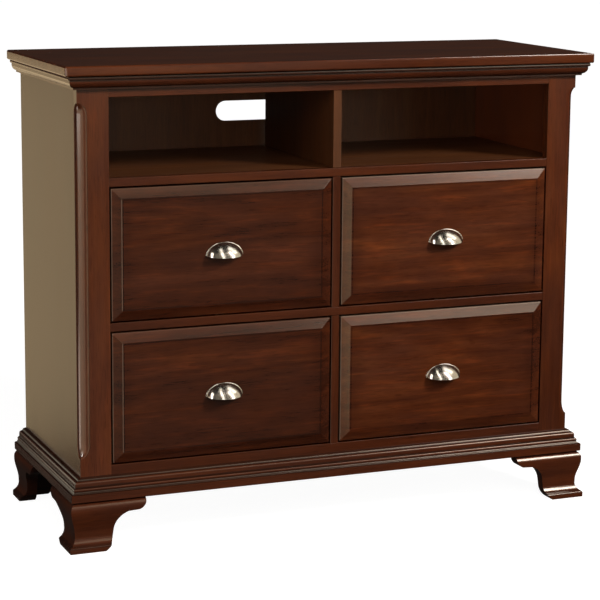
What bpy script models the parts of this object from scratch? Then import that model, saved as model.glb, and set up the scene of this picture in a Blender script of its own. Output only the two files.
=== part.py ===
"""Four-drawer wooden media chest on ogee bracket feet, with two open equipment
compartments above the drawers.

Metres, +Z up. X is the width, the drawers open towards -Y, and the origin is on
the floor under the middle of the chest. In the helpers below "u" is the depth
behind the face frame and "t" is how far a moulding stands out from the case.
"""

import math

import bmesh
import bpy
from mathutils import Matrix, Vector

# ---------------------------------------------------------------- dimensions
GAP = 0.0003  # clearance between pieces that touch

HEIGHT = 0.970
CASE_HALF = 0.5495  # half width over the side panels
CASE_DEPTH = 0.421  # face frame to the back edge of the sides and the top
TOE_T = 0.0315  # projection of the foot toes, the widest point of the chest

TOP_THICK = 0.020
TOP_T = 0.0295  # overhang of the top at the front and the two sides
TOP_ROUND, TOP_CORNER = 0.0035, 0.0070  # edges, and the two front corners

SIDE_THICK = 0.025
FRAME_THICK = 0.020  # posts, rails and mullions
POST_W = 0.0644
RAIL_H = 0.0172
MULLION_HALF = 0.00875
OPENING_H = 0.2725  # height of a drawer opening
BOTTOM_RAIL_TOP = 0.1676
COMPARTMENT_TOP = 0.906
CASE_BOTTOM = 0.1035

BACK_THICK = 0.006
BACK_INSET = 0.0026
PORT_W, PORT_H, PORT_Z = 0.227, 0.044, 0.826  # cable port in the back
DIVIDER_DEPTH = 0.384
BOTTOM_THICK = 0.012
BOTTOM_Z = 0.147
PARTITION_HALF = 0.006
REAR_RAIL_THICK = 0.018

CORNICE_Z = 0.923
BASE_Z, BASE_TOP, BASE_T = 0.103, 0.149, 0.026

FLUTE_W, FLUTE_STEP = 0.0205, 0.0013  # rounded corner sunk below both faces
FLUTE_LOW, FLUTE_HIGH = 0.185, 0.896
FLUTE_LOW_END, FLUTE_HIGH_END = 0.030, 0.022  # length of the rounded ends
FLUTE_SCOOP = 0.018  # length over which the round runs out

FOOT_TOP = BASE_Z - GAP
FOOT_IN_T = -0.004  # inner face of the bracket boards
LEG_D, WING_D, WING_Z = 0.0605, 0.1295, 0.0785
REAR_LEG_EXTRA = 0.0115
REAR_BOARD_THICK = 0.020

DRAWER_GAP = 0.0035
FRONT_THICK, FIELD_RISE, FIELD_BEVEL = 0.018, 0.006, 0.020
BOX_HALF, BOX_WALL = 0.224, 0.012
BOX_BACK_U = 0.378
BOX_LOW, BOX_HIGH, BOX_BACK_HIGH = 0.006, 0.215, 0.205
TRAY_LOW, TRAY_THICK, GROOVE = 0.0162, 0.0055, 0.005
GUIDE_HALF, GUIDE_LOW, GUIDE_HIGH = 0.011, -0.0083, 0.0115
CHANNEL_HALF, CHANNEL_LOW, CHANNEL_FRONT_U = 0.020, 0.005, 0.030
SLIDE_CLEAR = 0.0008

PULL_HALF_W, PULL_H, PULL_DEPTH, PULL_WALL = 0.0352, 0.0250, 0.026, 0.0018
FLANGE_HALF_W, FLANGE_H, FLANGE_THICK = 0.0400, 0.0270, 0.0015
PULL_SLOPE = math.radians(74)  # where the round of the cup ends at its lip
PULL_BOW = 0.0032  # how far the middle of the lip hangs below its ends
PULL_RAISE = 0.0023  # above the middle of the drawer

FRONT_REACH = max(TOE_T, FIELD_RISE + GAP + PULL_DEPTH)  # past the face frame
FACE_Y = -(CASE_DEPTH - FRONT_REACH) / 2
BACK_Y = FACE_Y + CASE_DEPTH
SIDE_IN = CASE_HALF - SIDE_THICK
POST_IN = CASE_HALF - POST_W
MID_RAIL_LOW = BOTTOM_RAIL_TOP + OPENING_H
UPPER_OPENING = MID_RAIL_LOW + RAIL_H
SHELF_LOW = UPPER_OPENING + OPENING_H
SHELF_TOP = SHELF_LOW + RAIL_H
CASE_TOP = HEIGHT - TOP_THICK - GAP
BACK_U = CASE_DEPTH - BACK_INSET - BACK_THICK
OPENING_MID_X = (POST_IN + MULLION_HALF) / 2
OPENING_HALF = (POST_IN - MULLION_HALF) / 2

# colour, roughness, metallic
CHERRY = ((0.060, 0.020, 0.010), 0.35, 0.0)
CHERRY_DARK = ((0.035, 0.014, 0.008), 0.45, 0.0)
BOX_WOOD = ((0.42, 0.27, 0.15), 0.55, 0.0)
GUIDE_WOOD = ((0.36, 0.22, 0.12), 0.50, 0.0)
NICKEL = ((0.60, 0.57, 0.52), 0.28, 1.0)

# ---------------------------------------------------------------- scene setup
for old in list(bpy.data.objects):
    bpy.data.objects.remove(old, do_unlink=True)

parts = bpy.data.collections.new("media_chest")
cutters = bpy.data.collections.new("cutters")
bpy.context.scene.collection.children.link(parts)
bpy.context.scene.collection.children.link(cutters)


def material(name, finish):
    colour, roughness, metallic = finish
    made = bpy.data.materials.new(name)
    made.use_nodes = True
    shader = made.node_tree.nodes["Principled BSDF"]
    shader.inputs["Base Color"].default_value = (*colour, 1.0)
    shader.inputs["Roughness"].default_value = roughness
    shader.inputs["Metallic"].default_value = metallic
    return made


def place(name, mesh, finish, location=(0, 0, 0), parent=None):
    mesh.name = name
    obj = bpy.data.objects.new(name, mesh)
    obj.location = location
    obj.parent = parent
    mesh.materials.clear()
    mesh.materials.append(material(name, finish))
    parts.objects.link(obj)
    return obj


def cutter(name, mesh, location=(0, 0, 0)):
    obj = bpy.data.objects.new(name, mesh)
    obj.location = location
    obj.hide_render = True
    obj.display_type = "WIRE"
    cutters.objects.link(obj)
    return obj


def boolean(obj, other, operation="DIFFERENCE"):
    modifier = obj.modifiers.new(other.name, "BOOLEAN")
    modifier.operation = operation
    modifier.object = other
    return modifier


def finish_mesh(bm, name):
    bmesh.ops.recalc_face_normals(bm, faces=bm.faces)
    mesh = bpy.data.meshes.new(name)
    bm.to_mesh(mesh)
    bm.free()
    return mesh


def box(x0, x1, y0, y1, z0, z1):
    """A cube primitive stretched to these limits."""
    bm = bmesh.new()
    bmesh.ops.create_cube(bm, size=1.0)
    size = Vector((x1 - x0, y1 - y0, z1 - z0))
    centre = Vector((x1 + x0, y1 + y0, z1 + z0)) / 2
    bmesh.ops.scale(bm, vec=size, verts=bm.verts)
    bmesh.ops.translate(bm, vec=centre, verts=bm.verts)
    return finish_mesh(bm, "box")


def case_box(x0, x1, u0, u1, z0, z1):
    return box(x0, x1, FACE_Y + u0, FACE_Y + u1, z0, z1)


def extruded(outlines, start, end, axes):
    """The filled 2D outlines, extruded from start to end. axes holds the world
    directions of the outline's first and second coordinates and of the extrusion."""
    curve = bpy.data.curves.new("outline", "CURVE")
    curve.dimensions = "2D"
    curve.fill_mode = "BOTH"
    curve.extrude = abs(end - start) / 2
    for outline in outlines:
        spline = curve.splines.new("POLY")
        spline.points.add(len(outline) - 1)
        for point, (a, b) in zip(spline.points, outline):
            point.co = (a, b, 0, 1)
        spline.use_cyclic_u = True
    helper = bpy.data.objects.new("outline", curve)
    cutters.objects.link(helper)
    evaluated = helper.evaluated_get(bpy.context.evaluated_depsgraph_get())
    mesh = bpy.data.meshes.new_from_object(evaluated)
    bpy.data.objects.remove(helper, do_unlink=True)
    bpy.data.curves.remove(curve)
    bm = bmesh.new()
    bm.from_mesh(mesh)
    bpy.data.meshes.remove(mesh)
    bmesh.ops.remove_doubles(bm, verts=bm.verts, dist=1e-6)
    bmesh.ops.translate(bm, vec=(0, 0, (start + end) / 2), verts=bm.verts)
    turn = Matrix([Vector(axis) for axis in axes]).transposed().to_4x4()
    bmesh.ops.transform(bm, matrix=turn, verts=bm.verts)
    return finish_mesh(bm, "extruded")


def shifted(mesh, offset):
    mesh.transform(Matrix.Translation(offset))
    return mesh


def mitred(mesh, point, normal):
    """The mesh cut off on the normal's side of a plane, with the cut closed."""
    bm = bmesh.new()
    bm.from_mesh(mesh)
    cut = bmesh.ops.bisect_plane(
        bm,
        geom=bm.verts[:] + bm.edges[:] + bm.faces[:],
        dist=1e-6,
        plane_co=point,
        plane_no=normal,
        clear_outer=True,
    )
    rim = [e for e in cut["geom_cut"] if isinstance(e, bmesh.types.BMEdge)]
    bmesh.ops.contextual_create(bm, geom=rim)
    bpy.data.meshes.remove(mesh)
    return finish_mesh(bm, "mitred")


def arc(first, middle, last, count):
    """Points on the circle through three points, from the first to the last."""
    (ax, ay), (bx, by), (cx, cy) = first, middle, last
    d = 2 * (ax * (by - cy) + bx * (cy - ay) + cx * (ay - by))
    a2, b2, c2 = ax * ax + ay * ay, bx * bx + by * by, cx * cx + cy * cy
    ox = (a2 * (by - cy) + b2 * (cy - ay) + c2 * (ay - by)) / d
    oy = (a2 * (cx - bx) + b2 * (ax - cx) + c2 * (bx - ax)) / d
    radius = math.hypot(ax - ox, ay - oy)
    begin = math.atan2(ay - oy, ax - ox)
    turn = math.atan2(cy - oy, cx - ox) - begin
    via = math.atan2(by - oy, bx - ox) - begin
    full = 2 * math.pi
    if (via % full) < (turn % full):
        turn %= full
    else:
        turn = turn % full - full
    return [
        (
            ox + radius * math.cos(begin + turn * i / count),
            oy + radius * math.sin(begin + turn * i / count),
        )
        for i in range(count + 1)
    ]


def s_curve(low, high, count):
    """An ogee from low to high that leaves both ends straight up."""
    (t0, z0), (t1, z1) = low, high
    points = []
    for i in range(1, count):
        s = i / count
        blend = s * s * (3 - 2 * s)
        points.append((t0 + (t1 - t0) * blend, z0 + (z1 - z0) * s))
    return [low] + points + [high]


OUT_UP_ALONG_X = ((0, -1, 0), (0, 0, 1), (1, 0, 0))


def out_up_along_y(side):
    return ((side, 0, 0), (0, 0, 1), (0, 1, 0))


# ---------------------------------------------------------------- top and case
top = place(
    "top_panel",
    case_box(
        -CASE_HALF - TOP_T,
        CASE_HALF + TOP_T,
        -TOP_T,
        CASE_DEPTH,
        HEIGHT - TOP_THICK,
        HEIGHT,
    ),
    CHERRY,
)
share = top.data.attributes.new("bevel_weight_edge", "FLOAT", "EDGE")
for edge in top.data.edges:
    a, b = (top.data.vertices[i].co for i in edge.vertices)
    front_corner = abs(a.z - b.z) > 0.001 and a.y < 0
    share.data[edge.index].value = 1.0 if front_corner else TOP_ROUND / TOP_CORNER
rounding = top.modifiers.new("eased edges", "BEVEL")
rounding.limit_method = "WEIGHT"
rounding.width = TOP_CORNER
rounding.segments = 4

SIDES = (("left", -1), ("right", 1))

for word, side in SIDES:
    inner, outer = sorted((side * SIDE_IN, side * CASE_HALF))
    place(
        f"side_panel_{word}",
        case_box(
            inner, outer, FRAME_THICK + GAP, CASE_DEPTH, CASE_BOTTOM, CASE_TOP
        ),
        CHERRY,
    )


def flute_section(side, wide, fill, z):
    """The waste at a post's outer corner, this wide on both faces: a square less a
    quarter round that lies a step below the faces. fill grows the quarter round
    towards a square corner."""
    radius = wide - FLUTE_STEP
    cx, cy = CASE_HALF - wide, wide
    past = 0.012
    ring = [(CASE_HALF + past, cy), (cx + radius, cy)]
    steps = 8
    for i in range(1, steps):
        angle = math.pi / 2 * i / steps
        ca, sa = math.cos(angle), math.sin(angle)
        reach = radius * (1 - fill + fill / max(ca, sa))
        ring.append((cx + reach * ca, cy - reach * sa))
    ring += [(cx, cy - radius), (cx, -past), (CASE_HALF + past, -past)]
    return [Vector((side * x, FACE_Y + y, z)) for x, y in ring]


def flute_cutter(side):
    """A loft: full size along the post. At both ends its outline closes in a quarter
    ellipse and its round runs out to the corner in a scoop."""
    least = 0.0024
    steps = 9
    stations = []
    for start, length in ((FLUTE_LOW, FLUTE_LOW_END), (FLUTE_HIGH, -FLUTE_HIGH_END)):
        end = []
        for i in range(steps + 1):
            angle = math.pi / 2 * i / steps
            wide = least + (FLUTE_W - least) * math.sin(angle)
            along = length * (1 - math.cos(angle))
            left = max(1 - abs(along) / FLUTE_SCOOP, 0.0)
            fill = 0.98 * (1 - math.sqrt(1 - left * left))
            end.append((wide, fill, start + along))
        stations += end if length > 0 else end[::-1]
    bm = bmesh.new()
    rings = [[bm.verts.new(p) for p in flute_section(side, *s)] for s in stations]
    for low, high in zip(rings, rings[1:]):
        for i in range(len(low)):
            j = (i + 1) % len(low)
            bm.faces.new((low[i], low[j], high[j], high[i]))
    bm.faces.new(rings[0])
    bm.faces.new(rings[-1])
    return finish_mesh(bm, "flute")


for word, side in SIDES:
    inner, outer = sorted((side * POST_IN, side * CASE_HALF))
    post = place(
        f"front_post_{word}",
        case_box(inner, outer, 0, FRAME_THICK, CASE_BOTTOM, CASE_TOP),
        CHERRY,
    )
    boolean(post, cutter(f"flute_{word}", flute_cutter(side)))

RAIL_HALF = POST_IN - GAP
for name, low, high in (
    ("top_rail", COMPARTMENT_TOP, CASE_TOP),
    ("shelf_rail", SHELF_LOW, SHELF_TOP),
    ("mid_rail", MID_RAIL_LOW, UPPER_OPENING),
    ("bottom_rail", CASE_BOTTOM, BOTTOM_RAIL_TOP),
):
    place(name, case_box(-RAIL_HALF, RAIL_HALF, 0, FRAME_THICK, low, high), CHERRY)

for name, low, high in (
    ("drawer_mullion_upper", UPPER_OPENING, SHELF_LOW),
    ("drawer_mullion_lower", BOTTOM_RAIL_TOP, MID_RAIL_LOW),
):
    place(
        name,
        case_box(
            -MULLION_HALF, MULLION_HALF, 0, FRAME_THICK, low + GAP, high - GAP
        ),
        CHERRY,
    )

# The divider stands flush with the face frame, under the top rail, and stops short
# of the back so that cables pass behind it.
place(
    "media_divider",
    extruded(
        [
            [
                (0, SHELF_TOP + GAP),
                (DIVIDER_DEPTH, SHELF_TOP + GAP),
                (DIVIDER_DEPTH, CASE_TOP),
                (FRAME_THICK + GAP, CASE_TOP),
                (FRAME_THICK + GAP, COMPARTMENT_TOP - GAP),
                (0, COMPARTMENT_TOP - GAP),
            ]
        ],
        -MULLION_HALF,
        MULLION_HALF,
        ((0, 1, 0), (0, 0, 1), (1, 0, 0)),
    ),
    CHERRY_DARK,
    location=(0, FACE_Y, 0),
)

INSIDE_HALF = SIDE_IN - GAP
BEHIND_FRAME = FRAME_THICK + GAP
BEFORE_BACK = BACK_U - GAP
place(
    "media_shelf",
    case_box(
        -INSIDE_HALF, INSIDE_HALF, BEHIND_FRAME, BEFORE_BACK, SHELF_LOW, SHELF_TOP
    ),
    CHERRY_DARK,
)
place(
    "bottom_panel",
    case_box(
        -INSIDE_HALF,
        INSIDE_HALF,
        BEHIND_FRAME,
        BEFORE_BACK,
        BOTTOM_Z,
        BOTTOM_Z + BOTTOM_THICK,
    ),
    CHERRY_DARK,
)
place(
    "centre_partition",
    case_box(
        -PARTITION_HALF,
        PARTITION_HALF,
        BEHIND_FRAME,
        BEFORE_BACK,
        BOTTOM_Z + BOTTOM_THICK + GAP,
        SHELF_LOW - GAP,
    ),
    CHERRY_DARK,
)
place(
    "base_rear_rail",
    case_box(
        -INSIDE_HALF,
        INSIDE_HALF,
        BEFORE_BACK - REAR_RAIL_THICK,
        BEFORE_BACK,
        CASE_BOTTOM,
        BOTTOM_Z - GAP,
    ),
    CHERRY_DARK,
)


def stadium(width, height, x, z, count):
    """A slot with round ends."""
    radius, reach = height / 2, (width - height) / 2
    points = []
    for end, start in ((1, -math.pi / 2), (-1, math.pi / 2)):
        for i in range(count + 1):
            angle = start + math.pi * i / count
            points.append(
                (
                    x + end * reach + radius * math.cos(angle),
                    z + radius * math.sin(angle),
                )
            )
    return points


place(
    "back_panel",
    extruded(
        [
            [
                (-INSIDE_HALF, CASE_BOTTOM),
                (INSIDE_HALF, CASE_BOTTOM),
                (INSIDE_HALF, CASE_TOP),
                (-INSIDE_HALF, CASE_TOP),
            ],
            stadium(PORT_W, PORT_H, 0, PORT_Z, 12),
        ],
        FACE_Y + BACK_U,
        FACE_Y + BACK_U + BACK_THICK,
        ((1, 0, 0), (0, 0, 1), (0, 1, 0)),
    ),
    CHERRY_DARK,
)

# ---------------------------------------------------------------- mouldings
# Profiles are (t, z): t outwards from the case, z up.
cornice_profile = [
    (GAP, CORNICE_Z),
    (0.0094, CORNICE_Z),
    (0.0094, CORNICE_Z + 0.0032),
    *arc(
        (0.0102, CORNICE_Z + 0.0036),
        (0.0168, CORNICE_Z + 0.0085),
        (0.0190, CORNICE_Z + 0.0172),
        6,
    ),
    (0.0190, CORNICE_Z + 0.0192),
    (0.0220, CORNICE_Z + 0.0200),
    (0.0224, CORNICE_Z + 0.0212),
    (0.0224, CORNICE_Z + 0.0246),
    (0.0210, CASE_TOP),
    (GAP, CASE_TOP),
]

base_profile = [
    (GAP, BASE_Z),
    (BASE_T - 0.0008, BASE_Z),
    (BASE_T, BASE_Z + 0.0010),
    (BASE_T, BASE_Z + 0.0153),
    (BASE_T - 0.0010, BASE_Z + 0.0163),
    (0.0213, BASE_Z + 0.0170),
    *arc(
        (0.0211, BASE_Z + 0.0178),
        (0.0196, BASE_Z + 0.0192),
        (0.0188, BASE_Z + 0.0212),
        3,
    ),
    *arc(
        (0.0192, BASE_Z + 0.0226),
        (0.0190, BASE_Z + 0.0258),
        (0.0164, BASE_Z + 0.0276),
        4,
    ),
    (0.0156, BASE_Z + 0.0284),
    *arc(
        (0.0153, BASE_Z + 0.0350),
        (0.0141, BASE_Z + 0.0386),
        (0.0106, BASE_Z + 0.0404),
        5,
    ),
    (0.0086, BASE_Z + 0.0408),
    (0.0078, BASE_Z + 0.0430),
    (0.0060, BASE_Z + 0.0448),
    (GAP, BASE_TOP),
]

for kind, profile in (("cornice", cornice_profile), ("base_moulding", base_profile)):
    past = 0.040
    front = extruded([profile], -CASE_HALF - past, CASE_HALF + past, OUT_UP_ALONG_X)
    shifted(front, (0, FACE_Y, 0))
    for side in (-1, 1):
        corner = Vector((side * CASE_HALF, FACE_Y, 0))
        front = mitred(
            front, corner - Vector((side * GAP / 2, 0, 0)), Vector((side, 1, 0))
        )
    place(f"{kind}_front", front, CHERRY)
    for word, side in SIDES:
        run = extruded([profile], FACE_Y - past, BACK_Y, out_up_along_y(side))
        shifted(run, (side * CASE_HALF, 0, 0))
        corner = Vector((side * CASE_HALF, FACE_Y + GAP / 2, 0))
        place(
            f"{kind}_{word}", mitred(run, corner, Vector((-side, -1, 0))), CHERRY
        )

# ---------------------------------------------------------------- bracket feet
foot_profile = [
    (FOOT_IN_T, 0.0),
    (TOE_T - 0.0006, 0.0),
    (TOE_T, 0.0008),
    (TOE_T, 0.0105),
    (TOE_T - 0.0008, 0.0118),
    *arc((0.0288, 0.0130), (0.0208, 0.0205), (0.0184, 0.0335), 7),
    *s_curve((0.0184, 0.0370), (0.0276, 0.0840), 9),
    *arc((0.0276, 0.0880), (0.0258, 0.0950), (0.0206, 0.1000), 6),
    (0.0190, FOOT_TOP),
    (FOOT_IN_T, FOOT_TOP),
]


def foot_outline(extra):
    """The cut edge of a bracket board, from the floor up to the wing's tip. The
    first coordinate runs along the board from the case corner."""
    return [
        (extra + d, z)
        for d, z in (
            *arc((0.0425, 0.0), (0.0555, 0.0134), (LEG_D, 0.0280), 7),
            *arc((LEG_D + 0.002, 0.042), (0.0725, 0.0645), (0.092, WING_Z - 0.0013), 8),
            (0.1150, WING_Z),
            *arc((0.1180, WING_Z + 0.0012), (0.1265, 0.0875), (WING_D, 0.0970), 6),
        )
    ]


def foot_cutter(name, extra, side, along_y):
    outline = foot_outline(extra)
    far = extra + 0.150
    loop = (
        [(outline[0][0], -0.010)]
        + outline
        + [(outline[-1][0], 0.120), (far, 0.120), (far, -0.010)]
    )
    if along_y:
        axes = ((0, -1, 0), (0, 0, 1), (1, 0, 0))
        mesh = extruded([loop], side * CASE_HALF - 0.06, side * CASE_HALF + 0.06, axes)
        return cutter(name, shifted(mesh, (0, BACK_Y, 0)))
    axes = ((-side, 0, 0), (0, 0, 1), (0, 1, 0))
    mesh = extruded([loop], FACE_Y - 0.06, FACE_Y + 0.03, axes)
    return cutter(name, shifted(mesh, (side * CASE_HALF, 0, 0)))


for word, side in SIDES:
    # Front foot: the front board, mirrored in the mitre to make the side board.
    reach = 0.140
    ends = sorted((side * (CASE_HALF + 0.045), side * (CASE_HALF - reach)))
    board = extruded([foot_profile], *ends, OUT_UP_ALONG_X)
    shifted(board, (0, FACE_Y, 0))
    foot = place(f"foot_front_{word}", board, CHERRY)
    boolean(foot, foot_cutter(f"foot_front_{word}_cut", 0.0, side, False))
    plane = bpy.data.objects.new(f"foot_front_{word}_mitre", None)
    plane.location = (side * CASE_HALF, FACE_Y, 0)
    plane.rotation_euler = (0, 0, math.radians(-45 if side < 0 else -135))
    cutters.objects.link(plane)
    mirror = foot.modifiers.new("mitre", "MIRROR")
    mirror.mirror_object = plane
    mirror.use_axis = (True, False, False)
    mirror.use_bisect_axis = (True, False, False)
    mirror.bisect_threshold = 1e-6
    mirror.merge_threshold = 0.00005

    # Rear foot: the same side board, ending flush with the back, and a flat board
    # across the back.
    run = extruded(
        [foot_profile], BACK_Y - reach - REAR_LEG_EXTRA, BACK_Y, out_up_along_y(side)
    )
    shifted(run, (side * CASE_HALF, 0, 0))
    foot = place(f"foot_rear_{word}", run, CHERRY)
    boolean(foot, foot_cutter(f"foot_rear_{word}_cut", REAR_LEG_EXTRA, side, True))
    outline = foot_outline(0.0)
    board = extruded(
        [[(-0.012, 0.0)] + outline + [(outline[-1][0], FOOT_TOP), (-0.012, FOOT_TOP)]],
        BACK_Y - REAR_BOARD_THICK,
        BACK_Y - 0.0004,
        ((-side, 0, 0), (0, 0, 1), (0, 1, 0)),
    )
    shifted(board, (side * CASE_HALF, 0, 0))
    boolean(foot, cutter(f"foot_rear_{word}_board", board), "UNION")

# ---------------------------------------------------------------- drawers
# Built once around the middle of an opening's lower edge, at the face frame, with
# y as the depth u.
FRONT_HALF = OPENING_HALF - DRAWER_GAP
TRAY_HIGH = TRAY_LOW + TRAY_THICK
INNER_HALF = BOX_HALF - BOX_WALL


def drawer_front():
    """A slab whose front is inset and raised to make the bevelled field."""
    bm = bmesh.new()
    bmesh.ops.create_cube(bm, size=1.0)
    height = OPENING_H - 2 * DRAWER_GAP
    bmesh.ops.scale(bm, vec=(2 * FRONT_HALF, FRONT_THICK, height), verts=bm.verts)
    bmesh.ops.translate(bm, vec=(0, FRONT_THICK / 2, OPENING_H / 2), verts=bm.verts)
    bm.normal_update()
    face = [f for f in bm.faces if f.normal.y < -0.5]
    bmesh.ops.inset_region(
        bm,
        faces=face,
        thickness=FIELD_BEVEL,
        depth=FIELD_RISE,
        use_even_offset=True,
    )
    return finish_mesh(bm, "drawer_front")


def cut_mesh(mesh, tool):
    """The mesh less the tool, as a mesh of its own."""
    solid = bpy.data.objects.new("solid", mesh)
    knife = bpy.data.objects.new("knife", tool)
    for helper in (solid, knife):
        cutters.objects.link(helper)
    boolean(solid, knife)
    evaluated = solid.evaluated_get(bpy.context.evaluated_depsgraph_get())
    result = bpy.data.meshes.new_from_object(evaluated)
    for helper in (solid, knife):
        bpy.data.objects.remove(helper, do_unlink=True)
    return result


groove_low, groove_high = TRAY_LOW - GAP, TRAY_HIGH + GAP
front_mesh = cut_mesh(
    drawer_front(),
    box(
        -INNER_HALF - GROOVE - 0.001,
        INNER_HALF + GROOVE + 0.001,
        FRONT_THICK - GROOVE,
        FRONT_THICK + 0.01,
        groove_low,
        groove_high,
    ),
)


def side_mesh(side):
    inner, outer = sorted((side * INNER_HALF, side * BOX_HALF))
    body = box(inner, outer, FRONT_THICK + GAP, BOX_BACK_U, BOX_LOW, BOX_HIGH)
    low, high = sorted((side * (INNER_HALF - 0.01), side * (INNER_HALF + GROOVE)))
    return cut_mesh(body, box(low, high, 0, BOX_BACK_U + 0.02, groove_low, groove_high))


back_mesh = box(
    -INNER_HALF + GAP,
    INNER_HALF - GAP,
    BOX_BACK_U - BOX_WALL,
    BOX_BACK_U,
    TRAY_HIGH + GAP,
    BOX_BACK_HIGH,
)
tray_mesh = box(
    -INNER_HALF - GROOVE + 0.0005,
    INNER_HALF + GROOVE - 0.0005,
    FRONT_THICK - GROOVE + 0.0005,
    BOX_BACK_U,
    TRAY_LOW,
    TRAY_HIGH,
)
channel_high = TRAY_LOW - GAP
channel_in = GUIDE_HALF + SLIDE_CLEAR
channel_mesh = extruded(
    [
        [
            (-CHANNEL_HALF, CHANNEL_LOW),
            (-channel_in, CHANNEL_LOW),
            (-channel_in, GUIDE_HIGH + SLIDE_CLEAR),
            (channel_in, GUIDE_HIGH + SLIDE_CLEAR),
            (channel_in, CHANNEL_LOW),
            (CHANNEL_HALF, CHANNEL_LOW),
            (CHANNEL_HALF, channel_high),
            (-CHANNEL_HALF, channel_high),
        ]
    ],
    CHANNEL_FRONT_U,
    BOX_BACK_U,
    ((1, 0, 0), (0, 0, 1), (0, 1, 0)),
)
guide_mesh = box(
    -GUIDE_HALF, GUIDE_HALF, BEHIND_FRAME, BEFORE_BACK, GUIDE_LOW, GUIDE_HIGH
)


def cup_pull():
    """A hooded cup as one skin: flange, cup, lip and hollow inside. Every section
    across the width runs from the flange over the cup to the lip and back inside.
    y = 0 is the back of the flange and z = 0 its lower end."""
    sections, steps = 26, 7
    bm = bmesh.new()
    rings = []
    for i in range(sections + 1):
        angle = math.pi * i / sections
        ca, sa = math.cos(angle), max(math.sin(angle), 0.0)

        def cup(half, high, deep, start, k):
            turn = PULL_SLOPE * k / steps
            up = (math.cos(turn) - math.cos(PULL_SLOPE)) / (1 - math.cos(PULL_SLOPE))
            out = math.sin(turn) / math.sin(PULL_SLOPE)
            y = -(start + (deep - start) * sa * out)
            return (half * ca, y, high * sa * up - PULL_BOW * sa * out)

        flange = (FLANGE_HALF_W * ca, FLANGE_H * sa)
        ring = [(flange[0], 0.0, flange[1]), (flange[0], -FLANGE_THICK, flange[1])]
        for k in range(steps + 1):
            ring.append(cup(PULL_HALF_W, PULL_H, PULL_DEPTH, FLANGE_THICK, k))
        for k in range(steps, -1, -1):
            ring.append(
                cup(
                    PULL_HALF_W - PULL_WALL,
                    PULL_H - PULL_WALL,
                    PULL_DEPTH - PULL_WALL,
                    0.0,
                    k,
                )
            )
        rings.append([bm.verts.new(point) for point in ring])
    for near, far in zip(rings, rings[1:]):
        for k in range(len(near)):
            n = (k + 1) % len(near)
            bm.faces.new((near[k], near[n], far[n], far[k]))
    bm.faces.new(rings[0])
    bm.faces.new(rings[-1])
    bmesh.ops.remove_doubles(bm, verts=bm.verts, dist=1e-6)
    bmesh.ops.dissolve_degenerate(bm, edges=bm.edges, dist=1e-6)
    mesh = finish_mesh(bm, "cup_pull")
    mesh.shade_smooth()
    mesh.set_sharp_from_angle(angle=math.radians(40))
    return mesh


pull_mesh = cup_pull()
pull_low = OPENING_H / 2 + PULL_RAISE - FLANGE_H / 2

for row, opening in (("upper", UPPER_OPENING), ("lower", BOTTOM_RAIL_TOP)):
    for word, side in SIDES:
        name = f"drawer_{row}_{word}"
        origin = (side * OPENING_MID_X, FACE_Y, opening)
        place(f"guide_rail_{row}_{word}", guide_mesh.copy(), GUIDE_WOOD, origin)
        slide = bpy.data.objects.new(f"{name}_slide", None)
        slide.location = origin
        parts.objects.link(slide)
        place(f"{name}_front", front_mesh.copy(), CHERRY, parent=slide)
        place(f"{name}_side_left", side_mesh(-1), BOX_WOOD, parent=slide)
        place(f"{name}_side_right", side_mesh(1), BOX_WOOD, parent=slide)
        place(f"{name}_back", back_mesh.copy(), BOX_WOOD, parent=slide)
        place(f"{name}_bottom", tray_mesh.copy(), BOX_WOOD, parent=slide)
        place(f"{name}_guide_channel", channel_mesh.copy(), GUIDE_WOOD, parent=slide)
        place(
            f"{name}_pull",
            pull_mesh.copy(),
            NICKEL,
            location=(0, -FIELD_RISE - GAP, pull_low),
            parent=slide,
        )
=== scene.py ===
"""Looks of the four-drawer media chest: stained cherry, dark plywood, pale drawer
timber and brushed nickel, eased edges, the pulls' rolled lips, screws, light and
camera. Metres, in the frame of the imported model."""

import math

import bmesh
import bpy
from mathutils import Matrix, Vector


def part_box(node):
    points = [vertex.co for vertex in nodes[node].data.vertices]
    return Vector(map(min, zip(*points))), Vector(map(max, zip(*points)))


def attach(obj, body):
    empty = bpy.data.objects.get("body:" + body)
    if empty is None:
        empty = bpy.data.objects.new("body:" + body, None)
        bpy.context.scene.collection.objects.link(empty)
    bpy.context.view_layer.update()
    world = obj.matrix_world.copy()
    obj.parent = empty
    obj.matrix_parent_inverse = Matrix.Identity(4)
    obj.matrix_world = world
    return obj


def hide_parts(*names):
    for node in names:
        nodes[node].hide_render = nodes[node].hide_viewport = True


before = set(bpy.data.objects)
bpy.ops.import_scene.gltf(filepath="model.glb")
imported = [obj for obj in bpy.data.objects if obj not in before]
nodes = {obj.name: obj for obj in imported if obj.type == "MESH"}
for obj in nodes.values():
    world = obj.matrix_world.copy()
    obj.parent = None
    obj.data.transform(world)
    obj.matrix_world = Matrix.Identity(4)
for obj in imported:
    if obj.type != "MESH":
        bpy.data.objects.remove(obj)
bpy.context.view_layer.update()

scene = bpy.context.scene
DRAWERS = [f"drawer_{row}_{side}" for row in ("upper", "lower") for side in ("left", "right")]


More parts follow.
